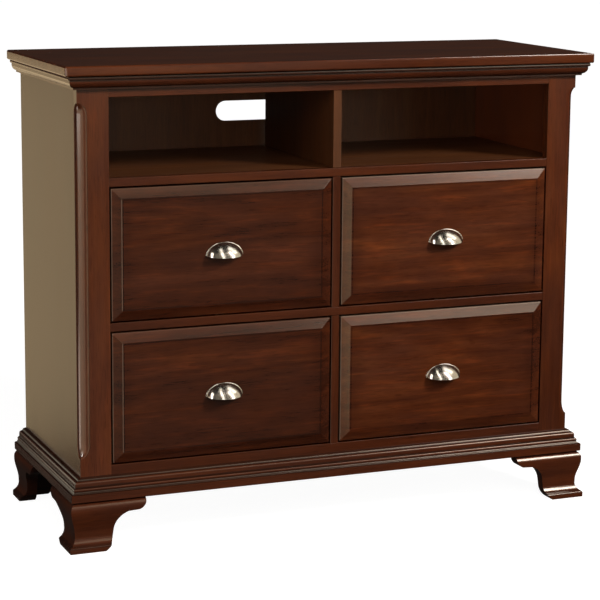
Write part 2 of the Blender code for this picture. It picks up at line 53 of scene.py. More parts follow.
# ------------------------------------------------------------------ node helpers
class Tree:
    """A material's node tree, with short calls for the nodes used below."""

    def __init__(self, name):
        self.material = bpy.data.materials.new(name)
        self.material.use_nodes = True
        self.nodes = self.material.node_tree.nodes
        self.links = self.material.node_tree.links
        self.shader = self.nodes["Principled BSDF"]

    def add(self, kind, **settings):
        node = self.nodes.new(kind)
        for key, value in settings.items():
            setattr(node, key, value)
        return node

    def feed(self, socket, value):
        if isinstance(value, bpy.types.NodeSocket):
            self.links.new(value, socket)
        else:
            socket.default_value = value

    def math(self, operation, a, b=0.5, clamp=False):
        node = self.add("ShaderNodeMath", operation=operation, use_clamp=clamp)
        self.feed(node.inputs[0], a)
        self.feed(node.inputs[1], b)
        return node.outputs[0]

    def vector(self, operation, a, b):
        node = self.add("ShaderNodeVectorMath", operation=operation)
        self.feed(node.inputs[0], a)
        self.feed(node.inputs[1], b)
        return node.outputs[0]

    def noise(self, point, scale, detail=2.0, rough=0.5, distortion=0.0, colour=False):
        """Noise over the point stretched by a 3-vector scale (cycles per metre)."""
        node = self.add("ShaderNodeTexNoise")
        self.feed(node.inputs["Vector"], self.vector("MULTIPLY", point, scale))
        node.inputs["Scale"].default_value = 1.0
        node.inputs["Detail"].default_value = detail
        node.inputs["Roughness"].default_value = rough
        node.inputs["Distortion"].default_value = distortion
        return node.outputs["Color" if colour else "Fac"]

    def spread(self, value, low, high, out_low=0.0, out_high=1.0, smooth=False):
        node = self.add("ShaderNodeMapRange", clamp=True)
        if smooth:
            node.interpolation_type = "SMOOTHSTEP"
        self.feed(node.inputs["Value"], value)
        node.inputs["From Min"].default_value = low
        node.inputs["From Max"].default_value = high
        node.inputs["To Min"].default_value = out_low
        node.inputs["To Max"].default_value = out_high
        return node.outputs["Result"]

    def ramp(self, value, stops):
        node = self.add("ShaderNodeValToRGB")
        self.feed(node.inputs["Fac"], value)
        elements = node.color_ramp.elements
        while len(elements) < len(stops):
            elements.new(0.5)
        for element, (place, colour) in zip(elements, stops):
            element.position = place
            element.color = (*colour, 1.0)
        return node.outputs["Color"]

    def mix(self, factor, a, b, blend="MIX"):
        node = self.add("ShaderNodeMix", data_type="RGBA", blend_type=blend)
        self.feed(node.inputs["Factor"], factor)
        colours = [s for s in node.inputs if s.type == "RGBA"]
        for socket, value in zip(colours, (a, b)):
            self.feed(socket, value if isinstance(value, bpy.types.NodeSocket) else (*value, 1.0))
        return [s for s in node.outputs if s.type == "RGBA"][0]

    def bump(self, height, strength, distance):
        node = self.add("ShaderNodeBump")
        node.inputs["Strength"].default_value = strength
        node.inputs["Distance"].default_value = distance
        self.feed(node.inputs["Height"], height)
        self.feed(self.shader.inputs["Normal"], node.outputs["Normal"])

    def grain_point(self, along, seed):
        """Object coordinates turned so that the grain runs along the first axis."""
        coord = self.add("ShaderNodeTexCoord").outputs["Object"]
        split = self.add("ShaderNodeSeparateXYZ")
        self.feed(split.inputs[0], coord)
        order = {"X": (0, 1, 2), "Y": (1, 0, 2), "Z": (2, 1, 0)}[along]
        join = self.add("ShaderNodeCombineXYZ")
        for socket, index in zip(join.inputs, order):
            self.feed(socket, split.outputs[index])
        shift = (1.731 * seed + 0.37, 0.913 * seed + 0.11, 1.277 * seed + 0.53)
        self.axes = split.outputs
        return self.vector("ADD", join.outputs[0], shift)


# ------------------------------------------------------------------ timber
CHERRY_WARM = (
    (0.00, (0.0330, 0.0072, 0.0026)),
    (0.36, (0.0660, 0.0153, 0.0050)),
    (0.56, (0.0900, 0.0215, 0.0066)),
    (0.80, (0.1250, 0.0322, 0.0092)),
    (1.00, (0.1700, 0.0495, 0.0140)),
)
CHERRY_COOL = (
    (0.00, (0.0290, 0.0076, 0.0036)),
    (0.40, (0.0570, 0.0148, 0.0066)),
    (0.65, (0.0780, 0.0208, 0.0092)),
    (1.00, (0.1120, 0.0340, 0.0135)),
)
STAINED_WARM = (
    (0.00, (0.0400, 0.0130, 0.0045)),
    (0.50, (0.0950, 0.0320, 0.0110)),
    (1.00, (0.1500, 0.0560, 0.0200)),
)
STAINED_COOL = (
    (0.00, (0.0360, 0.0135, 0.0055)),
    (0.50, (0.0840, 0.0310, 0.0130)),
    (1.00, (0.1350, 0.0540, 0.0225)),
)
POPLAR_WARM = (
    (0.00, (0.360, 0.225, 0.112)),
    (0.50, (0.500, 0.335, 0.182)),
    (1.00, (0.610, 0.440, 0.265)),
)
POPLAR_COOL = (
    (0.00, (0.330, 0.220, 0.125)),
    (0.50, (0.460, 0.325, 0.195)),
    (1.00, (0.560, 0.420, 0.270)),
)
BEECH_WARM = (
    (0.00, (0.300, 0.155, 0.072)),
    (0.50, (0.440, 0.255, 0.128)),
    (1.00, (0.560, 0.350, 0.190)),
)
BEECH_COOL = (
    (0.00, (0.280, 0.150, 0.078)),
    (0.50, (0.410, 0.245, 0.132)),
    (1.00, (0.520, 0.335, 0.190)),
)


def timber(
    name,
    along,
    seed,
    warm=CHERRY_WARM,
    cool=CHERRY_COOL,
    figure=0.10,
    streak=0.46,
    blotch=0.42,
    fibre=0.18,
    pores=0.30,
    flecks=0.40,
    glow=0.35,
    rough=(0.16, 0.22),
    coat=0.15,
    bump=0.08,
    gloss=0.5,
    tone_and_shade=0.0,
    field=None,
    arris_highlights=(0.0, 0.0, 0.0),
    hollows=(),
    painted_fade=None,
):
    """Stained and lacquered wood. Growth figure, streaks, fibres and pores all run
    along one axis; field is (x, z, half width, half height) of a panel that gets painted
    shade, darker towards the field's edges with a darker painted shadow line along its
    border, and the three line strengths are those of painted highlight lines along its left
    edge and the bevel's outer left and top edges. The hollow bands (z, half width,
    strength) are painted shade in a moulding's hollows, and the post tint (z, z, strength,
    tint) is multiplied into the lower part of a post: painted light where the tint is above
    one and painted shade where it is below. The colour shift holds the part's own colour
    and, on some parts, painted light and shade."""
    t = Tree(name)
    p = t.grain_point(along, seed)
    drift = t.noise(p, (1.4, 5.0, 5.0), 2.0, colour=True)
    drift = t.vector("MULTIPLY", t.vector("SUBTRACT", drift, (0.5, 0.5, 0.5)), (0.0, 0.011, 0.011))
    p = t.vector("ADD", p, drift)

    contour = t.noise(p, (0.75, 7.0, 7.0), 1.2, 0.45)
    rings = t.math("MULTIPLY", contour, 74.0)
    rings = t.math("SINE", rings, 0.0)
    streaks = t.noise(p, (2.8, 92.0, 92.0), 4.0, 0.60)
    mottle = t.noise(p, (13.0, 38.0, 38.0), 3.0, 0.6)
    blotches = t.noise(p, (1.9, 15.0, 15.0), 3.0, 0.5)
    fibres = t.noise(p, (16.0, 620.0, 620.0), 2.0, 0.6)

    value = t.math("MULTIPLY", t.math("SUBTRACT", streaks, 0.5), streak)
    value = t.math("ADD", value, t.math("MULTIPLY", rings, figure * 0.5))
    value = t.math("ADD", value, t.math("MULTIPLY", t.math("SUBTRACT", mottle, 0.5), 0.5 * blotch))
    value = t.math("ADD", value, t.math("MULTIPLY", t.math("SUBTRACT", blotches, 0.5), blotch))
    value = t.math("ADD", value, t.math("MULTIPLY", t.math("SUBTRACT", fibres, 0.5), fibre))
    # The colour shift holds the part's own colour and, on some parts, painted light and shade.
    value = t.math("ADD", value, 0.5 + tone_and_shade, clamp=True)

    hue = t.spread(t.noise(p, (4.5, 14.0, 14.0), 3.0, 0.55), 0.38, 0.64)
    colour = t.mix(hue, t.ramp(value, warm), t.ramp(value, cool))

    pore = t.spread(t.noise(p, (34.0, 760.0, 760.0), 0.0), 0.60, 0.72)
    pore_dark = t.math("MULTIPLY", pore, pores)
    colour = t.mix(pore_dark, colour, (0.30, 0.27, 0.25), "MULTIPLY")
    fleck = t.spread(t.noise(p, (30.0, 150.0, 150.0), 1.0, 0.4), 0.69, 0.78)
    colour = t.mix(t.math("MULTIPLY", fleck, flecks), colour, (0.42, 0.36, 0.33), "MULTIPLY")

    lit = t.spread(t.noise(p, (11.0, 120.0, 120.0), 3.0, 0.6), 0.52, 0.70)
    colour = t.mix(t.math("MULTIPLY", lit, glow), colour, (1.55, 1.36, 1.12), "MULTIPLY")

    # Painted shade: the colour is darkened in bands at the hollows, where shade falls.
    hollow_shade = None
    for z, half, strength in hollows:
        away = t.math("ABSOLUTE", t.math("SUBTRACT", t.axes[2], z))
        line = t.spread(away, 0.45 * half, half, strength, 0.0, smooth=True)
        hollow_shade = line if hollow_shade is None else t.math("MAXIMUM", hollow_shade, line)
    if hollow_shade:
        colour = t.mix(hollow_shade, colour, (0.12, 0.09, 0.08), "MULTIPLY")

    # Painted light and shade: a tint multiplied into the lower part of the piece, fading upwards.
    if painted_fade:
        low, high, strength, tint = painted_fade
        colour = t.mix(t.spread(t.axes[2], low, high, strength, 0.0, smooth=True), colour, tint, "MULTIPLY")

    if field:
        x, z, half_x, half_z = field
        dx = t.math("ABSOLUTE", t.math("SUBTRACT", t.axes[0], x))
        dz = t.math("ABSOLUTE", t.math("SUBTRACT", t.axes[2], z))
        reach = t.math("MAXIMUM", t.math("SUBTRACT", dx, half_x), t.math("SUBTRACT", dz, half_z))
        uneven = t.math("MULTIPLY", t.math("SUBTRACT", blotches, 0.5), 0.05)
        # Painted shade: the panel darkens towards the field's edges, a darker painted shadow line runs along the
        # field's border, and the painted shade thins out across the bevel towards its outer edge.
        shade = t.spread(t.math("ADD", reach, uneven), -0.036, 0.000, 0.0, 0.40, smooth=True)
        rim_shadow = t.spread(t.math("ABSOLUTE", t.math("ADD", reach, 0.0020)), 0.0004, 0.0034, 0.46, 0.0, smooth=True)
        bevel_fade = t.spread(reach, 0.002, 0.019, 0.0, 0.30)
        field_shade = t.math("SUBTRACT", t.math("ADD", shade, rim_shadow), bevel_fade, clamp=True)
        colour = t.mix(field_shade, colour, (0.40, 0.36, 0.36), "MULTIPLY")
        # Painted highlights: light lines along the field's left edge and the bevel's outer left edge, where the eased
        # arrises would catch the light.
        inside = t.spread(t.math("SUBTRACT", dz, half_z), -0.004, 0.0, 1.0, 0.0)
        for back, strength in zip((0.0, 0.0194), arris_highlights):
            away = t.math("ABSOLUTE", t.math("SUBTRACT", t.axes[0], x - half_x - back))
            painted_highlight = t.spread(away, 0.0004, 0.0016, strength, 0.0, smooth=True)
            if not back:
                painted_highlight = t.math("MULTIPLY", painted_highlight, inside)
            colour = t.mix(painted_highlight, colour, (0.155, 0.098, 0.070))
        # Painted highlight: a light line along the bevel's outer top edge.
        away = t.math("ABSOLUTE", t.math("SUBTRACT", t.axes[2], z + half_z + 0.0194))
        colour = t.mix(t.spread(away, 0.0004, 0.0016, arris_highlights[2], 0.0, smooth=True), colour, (0.20, 0.135, 0.10))

    t.feed(t.shader.inputs["Base Color"], colour)
    roughness = t.spread(streaks, 0.30, 0.70, rough[0], rough[1])
    # The bands of painted shade are rougher too.
    if hollow_shade:
        roughness = t.math("ADD", roughness, t.math("MULTIPLY", hollow_shade, 0.12))
    t.feed(t.shader.inputs["Roughness"], roughness)
    t.shader.inputs["Specular IOR Level"].default_value = gloss
    t.shader.inputs["Coat Weight"].default_value = coat
    t.shader.inputs["Coat Roughness"].default_value = 0.12
    height = t.math("SUBTRACT", t.math("MULTIPLY", fibres, 0.45), t.math("MULTIPLY", pore, 0.7))
    t.bump(height, bump, 0.0003)
    return t.material


# ------------------------------------------------------------------ metal
def nickel(name, seed):
    """Brushed nickel: fine scratches across the cup and a little tarnish."""
    t = Tree(name)
    p = t.grain_point("X", seed)
    brush = t.noise(p, (60.0, 2600.0, 2600.0), 2.0, 0.6)
    cloud = t.noise(p, (55.0, 70.0, 70.0), 3.0)
    colour = t.ramp(
        t.math("ADD", t.math("MULTIPLY", brush, 0.6), t.math("MULTIPLY", cloud, 0.4)),
        ((0.30, (0.52, 0.465, 0.40)), (0.55, (0.66, 0.605, 0.535)), (0.75, (0.73, 0.68, 0.615))),
    )
    t.feed(t.shader.inputs["Base Color"], colour)
    t.shader.inputs["Metallic"].default_value = 1.0
    t.feed(t.shader.inputs["Roughness"], t.spread(brush, 0.30, 0.70, 0.15, 0.23))
    t.bump(brush, 0.10, 0.0001)
    return t.material


def zinc(name):
    t = Tree(name)
    p = t.grain_point("Z", 3)
    cloud = t.noise(p, (420.0, 420.0, 420.0), 3.0)
    t.feed(
        t.shader.inputs["Base Color"],
        t.ramp(cloud, ((0.3, (0.40, 0.37, 0.30)), (0.6, (0.58, 0.55, 0.48)))),
    )
    t.shader.inputs["Metallic"].default_value = 1.0
    t.feed(t.shader.inputs["Roughness"], t.spread(cloud, 0.3, 0.7, 0.28, 0.45))
    return t.material


# ------------------------------------------------------------------ eased edges
def shading_group(degrees):
    """Geometry nodes that shade a mesh smooth except across edges sharper than this."""
    name = f"smooth_under_{degrees}"
    if name in bpy.data.node_groups:
        return bpy.data.node_groups[name]
    group = bpy.data.node_groups.new(name, "GeometryNodeTree")
    group.interface.new_socket("Geometry", in_out="INPUT", socket_type="NodeSocketGeometry")
    group.interface.new_socket("Geometry", in_out="OUTPUT", socket_type="NodeSocketGeometry")
    inlet = group.nodes.new("NodeGroupInput")
    outlet = group.nodes.new("NodeGroupOutput")
    last = inlet.outputs[0]
    for domain, smooth in (("FACE", True), ("EDGE", True), ("EDGE", False)):
        step = group.nodes.new("GeometryNodeSetShadeSmooth")
        step.domain = domain
        step.inputs["Shade Smooth"].default_value = smooth
        group.links.new(last, step.inputs["Geometry"])
        last = step.outputs["Geometry"]
    angle = group.nodes.new("GeometryNodeInputMeshEdgeAngle")
    sharp = group.nodes.new("ShaderNodeMath")
    sharp.operation = "GREATER_THAN"
    sharp.inputs[1].default_value = math.radians(degrees)
    group.links.new(angle.outputs["Unsigned Angle"], sharp.inputs[0])
    group.links.new(sharp.outputs[0], step.inputs["Selection"])
    group.links.new(last, outlet.inputs[0])
    return group


def smooth(obj, degrees=35):
    shade = obj.modifiers.new("shading", "NODES")
    shade.node_group = shading_group(degrees)
    weigh = obj.modifiers.new("weighted normals", "WEIGHTED_NORMAL")
    weigh.keep_sharp = True
    weigh.weight = 50


def ease(obj, width, segments=3, limit=30, smooth_under=35, weights=None):
    """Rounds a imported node's edges. weights(a, b) gives an edge's share of the width,
    or else every edge sharper than the limit is rounded alike."""
    mesh = obj.data
    if "custom_normal" in mesh.attributes:
        mesh.attributes.remove(mesh.attributes["custom_normal"])
    weld = obj.modifiers.new("weld", "WELD")
    weld.merge_threshold = 0.00001
    if width:
        bevel = obj.modifiers.new("eased edges", "BEVEL")
        bevel.width = width
        bevel.segments = segments
        bevel.use_clamp_overlap = True
        if weights:
            share = mesh.attributes.new("bevel_weight_edge", "FLOAT", "EDGE")
            points = [v.co for v in mesh.vertices]
            for edge in mesh.edges:
                a, b = (points[i] for i in edge.vertices)
                share.data[edge.index].value = weights(a, b)
            bevel.limit_method = "WEIGHT"
        else:
            bevel.limit_method = "ANGLE"
            bevel.angle_limit = math.radians(limit)
    smooth(obj, smooth_under)


def along_axis(index, ends=0.35):
    """Full rounding on edges along one axis of a board and little at its ends. The
    diagonals that split a flat face aren't along any axis."""

    def share(a, b):
        d = b - a
        length = d.length
        if length and abs(d[index]) > 0.9999 * length:
            return 1.0
        if any(abs(d[i]) > 0.9999 * length for i in range(3)):
            return ends
        return 0.0

    return share


# ------------------------------------------------------------------ finishes
def dress(node, material):
    slots = nodes[node].data.materials
    slots.clear()
    slots.append(material)


seed = 0
cornice_low, cornice_high = (corner.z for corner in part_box("cornice_front"))
base_low, base_high = (corner.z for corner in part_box("base_moulding_front"))
foot_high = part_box("foot_front_left")[1].z
# Bands (z, half width, strength) of painted shade in the hollows of the cornice and the base moulding.
CORNICE_SHADE_BANDS = (
    (cornice_high, 0.0062, 0.72),
    (cornice_low + 0.0195, 0.0040, 0.70),
    (cornice_low + 0.0015, 0.0034, 0.60),
)
BASE_SHADE_BANDS = (
    (base_low + 0.0190, 0.0042, 0.85),
    (base_low + 0.0283, 0.0024, 0.80),
    (base_low + 0.0424, 0.0036, 0.80),
    (base_high, 0.0022, 0.60),
)
# Painted light and shade on the front posts: the left post painted lighter towards its foot, the right one darker.
POST_LIGHT_AND_SHADE = {
    "front_post_left": (0.20, 0.62, 0.60, (1.40, 1.38, 1.28)),
    "front_post_right": (0.20, 0.62, 0.34, (0.30, 0.27, 0.25)),
}
# Bands of painted shade on the feet: in the groove above the toe and under the base moulding.
FOOT_SHADE_BANDS = ((0.0126, 0.0046, 0.55), (foot_high, 0.0050, 0.65))
# The colour shifts here hold painted light and shade as well as each part's own colour: the top is lighter, the cornice
# front darker, the rails darker towards the bottom and the rear left foot much darker, a painted shadow.
for node, along, tone_and_shade, hollows in (
    ("top_panel", "X", 0.10, ()),
    ("front_post_left", "Z", 0.16, ()),
    ("front_post_right", "Z", 0.07, ()),
    ("top_rail", "X", 0.0, ()),
    ("shelf_rail", "X", -0.03, ()),
    ("mid_rail", "X", -0.07, ()),
    ("bottom_rail", "X", -0.16, ()),
    ("drawer_mullion_upper", "Z", -0.07, ()),
    ("drawer_mullion_lower", "Z", -0.07, ()),
    ("cornice_front", "X", -0.16, CORNICE_SHADE_BANDS),
    ("cornice_left", "Y", -0.06, ()),
    ("cornice_right", "Y", -0.10, CORNICE_SHADE_BANDS),
    ("base_moulding_front", "X", -0.04, BASE_SHADE_BANDS),
    ("base_moulding_left", "Y", -0.04, BASE_SHADE_BANDS),
    ("base_moulding_right", "Y", -0.04, BASE_SHADE_BANDS),
    ("foot_front_left", "X", -0.03, FOOT_SHADE_BANDS),
    ("foot_front_right", "X", -0.03, FOOT_SHADE_BANDS),
    ("foot_rear_left", "Y", -0.24, FOOT_SHADE_BANDS),
    ("foot_rear_right", "Y", -0.08, FOOT_SHADE_BANDS),
):
    seed += 1
    painted_fade = POST_LIGHT_AND_SHADE.get(node)
    dress(node, timber(f"cherry_{node}", along, seed, tone_and_shade=tone_and_shade, hollows=hollows, painted_fade=painted_fade))
for side in ("left", "right"):
    seed += 1
    dress(
        f"side_panel_{side}",
        timber(
            f"cherry_side_panel_{side}", "Z", seed, figure=0.05, streak=0.18, blotch=0.25,
            fibre=0.05, pores=0.08, flecks=0.15, glow=0.05, rough=(0.24, 0.26), bump=0.015,
        ),
    )

for node, along in (
    ("media_divider", "Z"),
    ("media_shelf", "X"),
    ("bottom_panel", "X"),
    ("centre_partition", "Y"),
    ("base_rear_rail", "X"),
    ("back_panel", "Z"),
):
    seed += 1
    dress(
        node,
        timber(
            f"stained_{node}", along, seed, STAINED_WARM, STAINED_COOL,
            rough=(0.34, 0.44), coat=0.0, flecks=0.2, gloss=0.3,
        ),
    )

for drawer in DRAWERS:
    seed += 1
    low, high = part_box(f"{drawer}_front")
    middle = (low + high) / 2
    half_x, half_z = (high.x - low.x) / 2 - 0.020, (high.z - low.z) / 2 - 0.020
    # Each drawer front gets painted shade at its field's edges and painted highlight lines along its arrises.
    dress(
        f"{drawer}_front",
        timber(
            f"cherry_{drawer}_front", "X", seed, figure=0.16, streak=0.54, blotch=1.0, flecks=0.38, glow=0.80,
            tone_and_shade={"drawer_upper_right": 0.13, "drawer_lower_right": 0.0, "drawer_upper_left": -0.17}.get(drawer, -0.13),
            field=(middle.x, middle.z, half_x, half_z),
            arris_highlights=(0.60, 0.60, 0.20) if drawer.endswith("left") else (0.0, 0.75, 0.70),
        ),
    )
    for piece, along in (("side_left", "Y"), ("side_right", "Y"), ("back", "X"), ("bottom", "X")):
        seed += 1
        dress(
            f"{drawer}_{piece}",
            timber(
                f"poplar_{drawer}_{piece}", along, seed, POPLAR_WARM, POPLAR_COOL,
                rough=(0.40, 0.52), coat=0.0, pores=0.12, flecks=0.15,
            ),
        )
    dress(
        f"{drawer}_guide_channel",
        timber(
            f"beech_{drawer}_channel", "Y", seed, BEECH_WARM, BEECH_COOL,
            rough=(0.45, 0.58), coat=0.0, pores=0.25, flecks=0.4,
        ),
    )
for row in ("upper", "lower"):
    for side in ("left", "right"):
        seed += 1
        dress(
            f"guide_rail_{row}_{side}",
            timber(
                f"beech_guide_{row}_{side}", "Y", seed, BEECH_WARM, BEECH_COOL,
                rough=(0.40, 0.52), coat=0.0, pores=0.25, flecks=0.4,
            ),
        )

# ------------------------------------------------------------------ edges
ease(nodes["top_panel"], 0.0, smooth_under=40)
for side in ("left", "right"):
    ease(nodes[f"side_panel_{side}"], 0.0007, weights=along_axis(2, 0.6))
    ease(nodes[f"front_post_{side}"], 0.0006, limit=38, smooth_under=30)
for rail in ("top_rail", "shelf_rail", "mid_rail", "bottom_rail"):
    ease(nodes[rail], 0.0011, weights=along_axis(0))
for mullion in ("drawer_mullion_upper", "drawer_mullion_lower"):
    ease(nodes[mullion], 0.0011, weights=along_axis(2))
ease(nodes["media_divider"], 0.0009)
for panel in ("media_shelf", "bottom_panel", "centre_partition", "base_rear_rail", "back_panel"):
    ease(nodes[panel], 0.0006, 2)
for place in ("front", "left", "right"):
    ease(nodes[f"cornice_{place}"], 0.00035, 2, limit=38, smooth_under=38)
    ease(nodes[f"base_moulding_{place}"], 0.00035, 2, limit=38, smooth_under=38)
for side in ("left", "right"):
    ease(nodes[f"foot_front_{side}"], 0.0006, 2, limit=42, smooth_under=38)
    ease(nodes[f"foot_rear_{side}"], 0.0, smooth_under=38)
for drawer in DRAWERS:
    ease(nodes[f"{drawer}_front"], 0.0008, 3, limit=8, smooth_under=40)
    for piece in ("side_left", "side_right", "back"):
        ease(nodes[f"{drawer}_{piece}"], 0.0012)
    ease(nodes[f"{drawer}_bottom"], 0.0005, 2)
    ease(nodes[f"{drawer}_guide_channel"], 0.0006, 2)
for row in ("upper", "lower"):
    for side in ("left", "right"):
        ease(nodes[f"guide_rail_{row}_{side}"], 0.0008, 2)


# ------------------------------------------------------------------ pulls
HALF_W, HIGH, DEEP, WALL = 0.0376, 0.0257, 0.0260, 0.0018
FLANGE_W, FLANGE_H, FLANGE_THICK = 0.0400, 0.0270, 0.0015
START, SLOPE, BOW = math.radians(40), math.radians(79), 0.0032


def cup_pull_mesh():
    """A cup pull as one closed skin: flange, cup, rolled lip and hollow inside. Each
    section runs from the flange's back over the cup to the lip and back inside."""
    bm = bmesh.new()
    sections, steps = 80, 20
    rings = []
    for i in range(sections + 1):
        a = math.pi * i / sections
        ca, sa = math.cos(a), max(math.sin(a), 0.0)

        def cup(half, high, deep, start, k):
            turn = START + (SLOPE - START) * k / steps
            up = (math.cos(turn) - math.cos(SLOPE)) / (math.cos(START) - math.cos(SLOPE))
            out = (math.sin(turn) - math.sin(START)) / (math.sin(SLOPE) - math.sin(START))
            return Vector((half * ca, -(start + (deep - start) * sa * out), high * sa * up - BOW * sa * out))

        def flange(back, y):
            return Vector(((FLANGE_W - back) * ca, y, (FLANGE_H - back) * sa))

        ring = [flange(0.0, 0.0)]
        for k in range(7):
            c = math.radians(14 * k)
            ring.append(flange(0.0020 * (1 - math.cos(c)), -FLANGE_THICK * (0.30 + 0.70 * math.sin(c))))
        for k in range(steps + 1):
            ring.append(cup(HALF_W, HIGH, DEEP, FLANGE_THICK, k))
        outer, inner = ring[-1], cup(HALF_W - WALL, HIGH - WALL, DEEP - WALL, 0.0, steps)
        roll = 0.0004 * min(1.0, 4 * sa)
        ring[-1] = outer + Vector((0, 0, roll))
        for k in range(1, 6):
            c = math.pi * k / 6
            mid = outer.lerp(inner, 0.5 - 0.5 * math.cos(c))
            ring.append(mid + Vector((0, 0, roll * (1 - math.sin(c)))))
        for k in range(steps, -1, -1):
            ring.append(cup(HALF_W - WALL, HIGH - WALL, DEEP - WALL, 0.0, k))
        rings.append([bm.verts.new(point) for point in ring])
    for near, far in zip(rings, rings[1:]):
        for k in range(len(near)):
            n = (k + 1) % len(near)
            bm.faces.new((near[k], near[n], far[n], far[k]))
    bm.faces.new(rings[0])
    bm.faces.new(rings[-1])
    bmesh.ops.remove_doubles(bm, verts=bm.verts, dist=1e-6)
    bmesh.ops.dissolve_degenerate(bm, edges=bm.edges, dist=1e-6)
    bmesh.ops.recalc_face_normals(bm, faces=bm.faces)
    mesh = bpy.data.meshes.new("cup_pull")
    bm.to_mesh(mesh)
    bm.free()
    return mesh


def piece(name, mesh, body, material, slot=None, place=(0, 0, 0)):
    obj = bpy.data.objects.new(name, mesh)
    scene.collection.objects.link(obj)
    obj.location = place
    mesh.materials.clear()
    mesh.materials.append(material)
    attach(obj, body)
    return obj


pull_mesh = cup_pull_mesh()
pulls = []
for index, drawer in enumerate(DRAWERS):
    low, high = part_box(f"{drawer}_pull")
    pull = piece(
        f"{drawer}_cup_pull",
        pull_mesh.copy(),
        drawer,
        nickel(f"nickel_{drawer}", index),
        "brushed_nickel",
        ((low.x + high.x) / 2, high.y, low.z + BOW),
    )
    smooth(pull, 42)
    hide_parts(f"{drawer}_pull")
    pulls.append(pull)


# ------------------------------------------------------------------ screws
def screw_head_mesh(radius, thick):
    """A pan head with a cross recess, in the XY plane, its top towards +Z."""
    curve = bpy.data.curves.new("head", "CURVE")
    curve.dimensions = "2D"
    curve.fill_mode = "BOTH"
    curve.extrude = thick * 0.5
    curve.bevel_depth = thick * 0.3
    curve.bevel_resolution = 3
    count = 32
    circle = [
        (radius * 0.86 * math.cos(2 * math.pi * i / count), radius * 0.86 * math.sin(2 * math.pi * i / count))
        for i in range(count)
    ]
    w, l = radius * 0.17, radius * 0.56
    cross = [
        (-w, -l), (w, -l), (w, -w), (l, -w), (l, w), (w, w),
        (w, l), (-w, l), (-w, w), (-l, w), (-l, -w), (-w, -w),
    ]
    for outline in (circle, cross):
        spline = curve.splines.new("POLY")
        spline.points.add(len(outline) - 1)
        for point, (x, y) in zip(spline.points, outline):
            point.co = (x, y, 0, 1)
        spline.use_cyclic_u = True
    helper = bpy.data.objects.new("head", curve)
    scene.collection.objects.link(helper)
    bpy.context.view_layer.update()
    evaluated = helper.evaluated_get(bpy.context.evaluated_depsgraph_get())
    mesh = bpy.data.meshes.new_from_object(evaluated)
    bpy.data.objects.remove(helper, do_unlink=True)
    bm = bmesh.new()
    bm.from_mesh(mesh)
    bmesh.ops.remove_doubles(bm, verts=bm.verts, dist=1e-6)
    low = min(v.co.z for v in bm.verts)
    bmesh.ops.translate(bm, vec=(0, 0, -low), verts=bm.verts)
    bm.to_mesh(mesh)
    bm.free()
    return mesh


def screws(name, body, heads, radius, thick, material):
    """One piece with a head at each (place, direction, turn)."""
    head = screw_head_mesh(radius, thick)
    bm = bmesh.new()
    for place, direction, turn in heads:
        before = len(bm.verts)
        bm.from_mesh(head)
        bm.verts.ensure_lookup_table()
        new = bm.verts[before:]
        spin = Matrix.Rotation(turn, 4, "Z")
        aim = Vector((0, 0, 1)).rotation_difference(Vector(direction)).to_matrix().to_4x4()
        bmesh.ops.transform(bm, matrix=Matrix.Translation(place) @ aim @ spin, verts=new)
    mesh = bpy.data.meshes.new(name)
    bm.to_mesh(mesh)
    bm.free()
    obj = piece(name, mesh, body, material)
    smooth(obj, 40)
    return obj


zinc_finish = zinc("zinc_plated")
for drawer in DRAWERS:
    low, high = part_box(f"{drawer}_front")
    pull_low, pull_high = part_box(f"{drawer}_pull")
    x, z = (low.x + high.x) / 2, pull_low.z + 0.014
    screws(
        f"{drawer}_pull_screws",
        drawer,
        [((x + s * 0.024, high.y, z), (0, 1, 0), 0.5 + s) for s in (-1, 1)],
        0.0046,
        0.0022,
        zinc_finish,
    )

low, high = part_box("back_panel")
spots = []
for i in range(9):
    x = low.x + 0.022 + (high.x - low.x - 0.044) * i / 8
    spots += [(x, low.z + 0.030), (x, high.z - 0.010)]
for i in range(1, 6):
    z = low.z + 0.030 + (high.z - low.z - 0.040) * i / 6
    spots += [(low.x + 0.010, z), (high.x - 0.010, z)]
for i in range(9):
    x = low.x + 0.022 + (high.x - low.x - 0.044) * i / 8
    spots.append((x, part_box("media_shelf")[0].z + 0.0086))
back_screws = screws(
    "back_panel_screws",
    "case",
    [((x, high.y, z), (0, 1, 0), 0.7 * k) for k, (x, z) in enumerate(spots)],
    0.0040,
    0.0013,
    zinc_finish,
)

# ------------------------------------------------------------------ floor and backdrop
floor_tree = Tree("pale_floor")
point = floor_tree.grain_point("X", 1)
cloud = floor_tree.noise(point, (0.6, 0.6, 0.6), 2.0)
floor_tree.feed(
    floor_tree.shader.inputs["Base Color"],
    floor_tree.ramp(cloud, ((0.3, (0.30, 0.30, 0.30)), (0.7, (0.32, 0.32, 0.32)))),
)
floor_tree.shader.inputs["Roughness"].default_value = 1.0
floor_tree.shader.inputs["Specular IOR Level"].default_value = 0.0
floor_tree.shader.inputs["Emission Color"].default_value = (1.0, 1.0, 1.0, 1.0)
far = floor_tree.add("ShaderNodeVectorMath", operation="LENGTH")
floor_tree.feed(far.inputs[0], floor_tree.add("ShaderNodeTexCoord").outputs["Object"])
floor_tree.feed(
    floor_tree.shader.inputs["Emission Strength"],
    floor_tree.spread(far.outputs["Value"], 0.9, 3.2, 0.96, 1.02, smooth=True),
)

bm = bmesh.new()
bmesh.ops.create_circle(bm, cap_ends=True, segments=96, radius=29.0)
floor_mesh = bpy.data.meshes.new("floor")
bm.to_mesh(floor_mesh)
bm.free()
floor = bpy.data.objects.new("floor", floor_mesh)
floor_mesh.materials.append(floor_tree.material)
floor.location = (0, 0, -0.0002)

